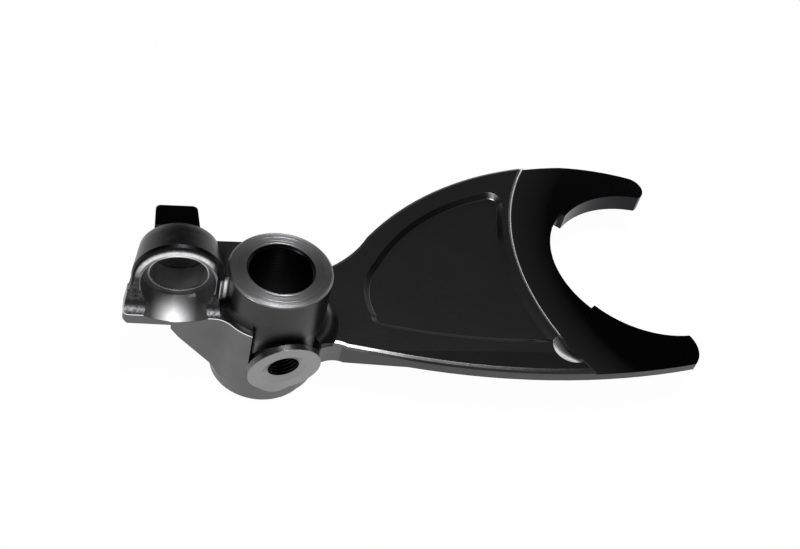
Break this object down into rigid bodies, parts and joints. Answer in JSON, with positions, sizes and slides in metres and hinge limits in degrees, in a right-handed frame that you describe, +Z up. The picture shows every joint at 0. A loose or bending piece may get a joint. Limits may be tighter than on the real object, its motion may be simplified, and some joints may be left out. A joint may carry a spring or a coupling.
{
  "type": "clutch fork",
  "caption": "One-piece forged gear selector fork: rail hub with a lock-screw boss, a flat two-pronged blade round a wide jaw, and a round-topped socket block with a square lug.",
  "frame": {"origin": "on the rail bore's axis, level with the milled land of the jaw", "axes": "+Z up along the rail bore, +X from the hub towards the prongs, -Y towards the lock-screw boss"},
  "size_m": [0.2496, 0.1312, 0.0694],
  "materials": {
    "forging": "dark grey satin, with darker milled lands and a bright turned hub"
  },
  "bodies": {
    "root": {"selector_fork": "forging"}
  },
  "joints": []
}
